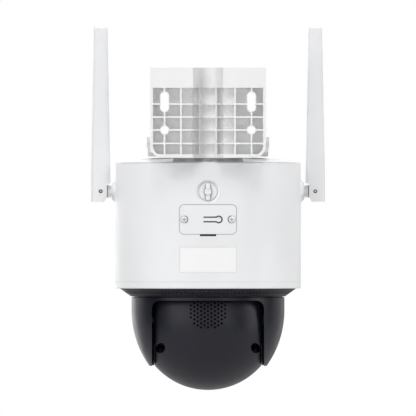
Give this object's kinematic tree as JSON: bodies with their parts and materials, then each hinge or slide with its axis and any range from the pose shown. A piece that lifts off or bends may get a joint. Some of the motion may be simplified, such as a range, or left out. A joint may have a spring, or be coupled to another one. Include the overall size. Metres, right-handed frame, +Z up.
{
  "type": "solar security camera",
  "caption": "Pan-and-tilt outdoor camera: white drum with solar lid, folding wall bracket, two paddle antennas and a black tilting ball in a rotating yoke.",
  "frame": {"origin": "middle of the wall bracket's back, on the wall plane, on the plane of symmetry", "axes": "+Y out of the bracket's back into the wall, -Y the way the camera faces, +Z up, +X to the camera's own left"},
  "size_m": [0.1988, 0.1704, 0.3091],
  "materials": {
    "white_plastic": "fine satin moulding, matt",
    "grey_plastic": "fine satin moulding",
    "gloss_black_plastic": "polished black",
    "satin_black_plastic": "fine texture",
    "solar_laminate": "dark blue cells under a clear sheet",
    "steel": "zinc plated",
    "seal_rubber": "soft matt",
    "label_film": "blank white film",
    "circuit_board": "green solder mask",
    "cell_wrap": "shrink wrap over a steel can",
    "nylon": "natural moulded nylon",
    "dark_glass": "polished, nearly black",
    "sensor_window": "milky moulded lens"
  },
  "bodies": {
    "bracket": {"wall_bracket": "white_plastic", "hinge_pin_left": "steel", "hinge_pin_right": "steel"},
    "drum": {"cradle": "grey_plastic", "cradle_screw_left": "steel", "cradle_screw_right": "steel", "top_lid": "white_plastic", "lid_seal": "seal_rubber", "solar_panel": "solar_laminate", "drum_shell": "white_plastic", "service_bay": "satin_black_plastic", "card_reader": "satin_black_plastic", "sim_card": "label_film", "memory_card": "satin_black_plastic", "main_board": "circuit_board", "radio_module": "steel", "charge_socket": "satin_black_plastic", "chassis_ring": "satin_black_plastic", "battery_tray": "satin_black_plastic", "battery_cell_front": "cell_wrap", "battery_cell_rear": "cell_wrap", "pan_motor": "steel", "pan_bearing": "nylon", "vent_ring": "satin_black_plastic", "sensor_lens": "sensor_window", "rating_label": "label_film", "antenna_clip_left": "steel", "antenna_clip_right": "steel"},
    "door": {"service_door": "white_plastic", "door_seal": "seal_rubber", "door_screw_left": "steel", "door_screw_right": "steel"},
    "key": {"reset_key": "white_plastic"},
    "button": {"reset_button": "satin_black_plastic"},
    "cap": {"port_cap": "white_plastic"},
    "swivel_left": {"antenna_knuckle_left": "white_plastic", "antenna_pin_left": "satin_black_plastic"},
    "swivel_right": {"antenna_knuckle_right": "white_plastic", "antenna_pin_right": "satin_black_plastic"},
    "antenna_left": {"antenna_blade_left": "white_plastic"},
    "antenna_right": {"antenna_blade_right": "white_plastic"},
    "yoke": {"pan_bell": "gloss_black_plastic", "pan_gear": "nylon", "arm_cover_left": "gloss_black_plastic", "arm_cover_right": "gloss_black_plastic", "trunnion_left": "nylon", "trunnion_right": "nylon", "tilt_gear": "nylon"},
    "pan_drive": {"pan_pinion": "nylon"},
    "ball": {"ball_rear_shell": "gloss_black_plastic", "ball_front_shell": "gloss_black_plastic", "front_glass": "dark_glass", "lens_barrel": "satin_black_plastic", "lamp_board": "circuit_board", "image_board": "circuit_board", "speaker": "satin_black_plastic", "tilt_motor": "steel", "ball_screw_left": "steel", "ball_screw_right": "steel"},
    "tilt_drive": {"tilt_pinion": "nylon"}
  },
  "joints": [
    {"name": "bracket_fold", "type": "hinge", "parent": "bracket", "child": "drum", "pos_m": [0, -0.06, -0.028], "axis": [1, 0, 0], "range_deg": [-90, 0]},
    {"name": "door_lift", "type": "slide", "parent": "drum", "child": "door", "axis": [0, 1, 0], "range_m": [0, 0.03]},
    {"name": "key_press", "type": "hinge", "parent": "door", "child": "key", "pos_m": [0.0038, -0.0091, -0.0913], "axis": [0, 0, 1], "range_deg": [0, 4.5], "stiffness_Nm_per_rad": 0.05},
    {"name": "button_press", "type": "hinge", "parent": "drum", "child": "button", "pos_m": [0.0038, -0.0091, -0.0913], "axis": [0, 0, 1], "range_deg": [0, 3.5]},
    {"name": "cap_turn", "type": "hinge", "parent": "drum", "child": "cap", "pos_m": [0, -0.0112, -0.0678], "axis": [0, 1, 0], "range_deg": [0, 90]},
    {"name": "antenna_swivel_left", "type": "hinge", "parent": "drum", "child": "swivel_left", "pos_m": [0.0817, -0.087, -0.0674], "axis": [1, 0, 0], "range_deg": [-90, 90]},
    {"name": "antenna_swivel_right", "type": "hinge", "parent": "drum", "child": "swivel_right", "pos_m": [-0.0817, -0.087, -0.0674], "axis": [1, 0, 0], "range_deg": [-90, 90]},
    {"name": "antenna_fold_left", "type": "hinge", "parent": "swivel_left", "child": "antenna_left", "pos_m": [0.0912, -0.087, -0.0674], "axis": [0, 1, 0], "range_deg": [0, 90]},
    {"name": "antenna_fold_right", "type": "hinge", "parent": "swivel_right", "child": "antenna_right", "pos_m": [-0.0912, -0.087, -0.0674], "axis": [0, -1, 0], "range_deg": [0, 90]},
    {"name": "pan", "type": "hinge", "parent": "drum", "child": "yoke", "pos_m": [0, -0.087, -0.1573], "axis": [0, 0, 1], "range_deg": [-175, 175]},
    {"name": "pan_pinion_spin", "type": "hinge", "parent": "drum", "child": "pan_drive", "pos_m": [0.063, -0.087, -0.127], "axis": [0, 0, 1], "range_deg": [-1060, 1060]},
    {"name": "tilt", "type": "hinge", "parent": "yoke", "child": "ball", "pos_m": [0, -0.087, -0.1765], "axis": [1, 0, 0], "range_deg": [-24, 71]},
    {"name": "tilt_pinion_spin", "type": "hinge", "parent": "ball", "child": "tilt_drive", "pos_m": [0.039, -0.09044, -0.15477], "axis": [1, 0, 0], "range_deg": [-45, 126]}
  ],
  "couplings": [
    {"joint": "pan_pinion_spin", "follows": "pan", "ratio": -6},
    {"joint": "tilt_pinion_spin", "follows": "tilt", "ratio": 1.75},
    {"joint": "button_press", "follows": "key_press", "ratio": 0.6}
  ]
}
